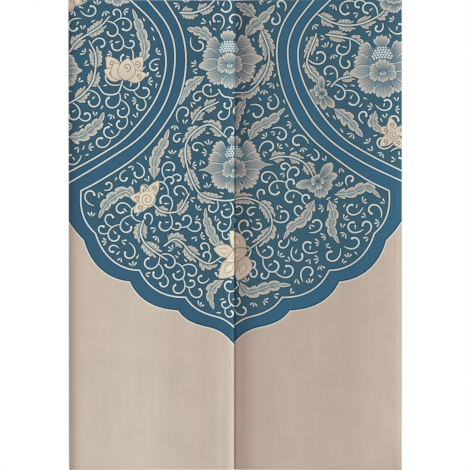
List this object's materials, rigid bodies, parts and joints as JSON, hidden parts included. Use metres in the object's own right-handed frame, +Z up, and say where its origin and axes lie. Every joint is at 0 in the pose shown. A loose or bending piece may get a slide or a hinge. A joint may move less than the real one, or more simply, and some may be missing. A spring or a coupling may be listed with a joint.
{
  "type": "noren curtain",
  "caption": "Split door curtain: cloth panels sewn together near the top and free below, hung in a shallow fold, with a scalloped field of scrolling flowers above plain cloth.",
  "frame": {"origin": "middle of the top edge, at the top end of the seam between the panels", "axes": "+X to the right as seen from the printed front, +Y away from the viewer through the cloth, +Z up the drop of the curtain"},
  "size_m": [0.85, 0.0479, 1.2],
  "materials": {
    "printed_cloth": "matte plain-woven cotton and linen, greige ground with an indigo-blue and cream print"
  },
  "bodies": {
    "root": {"panel_left": "printed_cloth", "panel_right": "printed_cloth"}
  },
  "joints": []
}
